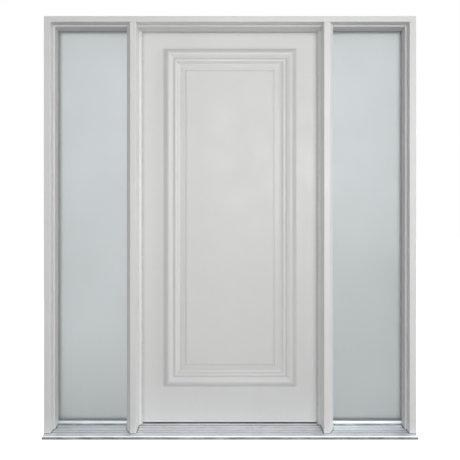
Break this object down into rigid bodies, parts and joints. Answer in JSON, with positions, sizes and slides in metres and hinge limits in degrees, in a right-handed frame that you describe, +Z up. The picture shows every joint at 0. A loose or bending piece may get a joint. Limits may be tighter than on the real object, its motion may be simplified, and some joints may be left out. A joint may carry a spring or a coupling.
{
  "type": "entrance door with two side lights",
  "caption": "Entrance door in a frame: a hinged leaf with a raised panel moulding, frosted side lights and a ribbed metal sill.",
  "frame": {"origin": "middle of the sill's flat underside, below the frame's front face", "axes": "+Z up; +Y from outdoors to indoors; +X to the right as seen from outdoors"},
  "size_m": [1.836, 0.2215, 2.0765],
  "materials": {
    "frame_paint": "satin",
    "leaf_paint": "satin",
    "moulding_paint": "satin",
    "sill_metal": "mill",
    "cap_metal": "mill",
    "sill_wood": "raw",
    "frosted_glass": "frosted",
    "spacer_metal": "mill",
    "gasket_rubber": "matt",
    "seal_rubber": "matt",
    "hinge_steel": "brushed",
    "stile_wood": "raw",
    "core_foam": "raw",
    "sweep_rubber": "matt"
  },
  "bodies": {
    "frame": {"sill": "sill_metal", "sill_base": "sill_wood", "threshold_cap": "cap_metal", "head": "frame_paint", "jamb_left": "frame_paint", "jamb_right": "frame_paint", "mullion_left": "frame_paint", "mullion_right": "frame_paint", "light_rail_left": "sill_metal", "light_rail_right": "sill_metal", "pane_outer_left": "frosted_glass", "pane_outer_right": "frosted_glass", "pane_inner_left": "frosted_glass", "pane_inner_right": "frosted_glass", "spacer_left": "spacer_metal", "spacer_right": "spacer_metal", "gasket_left": "gasket_rubber", "gasket_right": "gasket_rubber", "bead_sides_left": "frame_paint", "bead_sides_right": "frame_paint", "bead_ends_left": "frame_paint", "bead_ends_right": "frame_paint", "seal_left": "seal_rubber", "seal_right": "seal_rubber", "seal_head": "seal_rubber", "hinge_top_frame": "hinge_steel", "hinge_middle_frame": "hinge_steel", "hinge_bottom_frame": "hinge_steel", "hinge_pins": "hinge_steel"},
    "leaf": {"skin_outer": "leaf_paint", "skin_inner": "leaf_paint", "stile_hinge": "stile_wood", "stile_lock": "stile_wood", "rail_top": "stile_wood", "rail_bottom": "stile_wood", "core": "core_foam", "moulding_outer": "moulding_paint", "moulding_inner": "moulding_paint", "panel_outer": "leaf_paint", "panel_inner": "leaf_paint", "bottom_sweep": "sweep_rubber", "hinge_top_leaf": "hinge_steel", "hinge_middle_leaf": "hinge_steel", "hinge_bottom_leaf": "hinge_steel"}
  },
  "joints": [
    {"name": "leaf_swing", "type": "hinge", "parent": "frame", "child": "leaf", "pos_m": [-0.4595, 0.1735, 1], "axis": [0, 0, 1], "range_deg": [0, 120]}
  ]
}
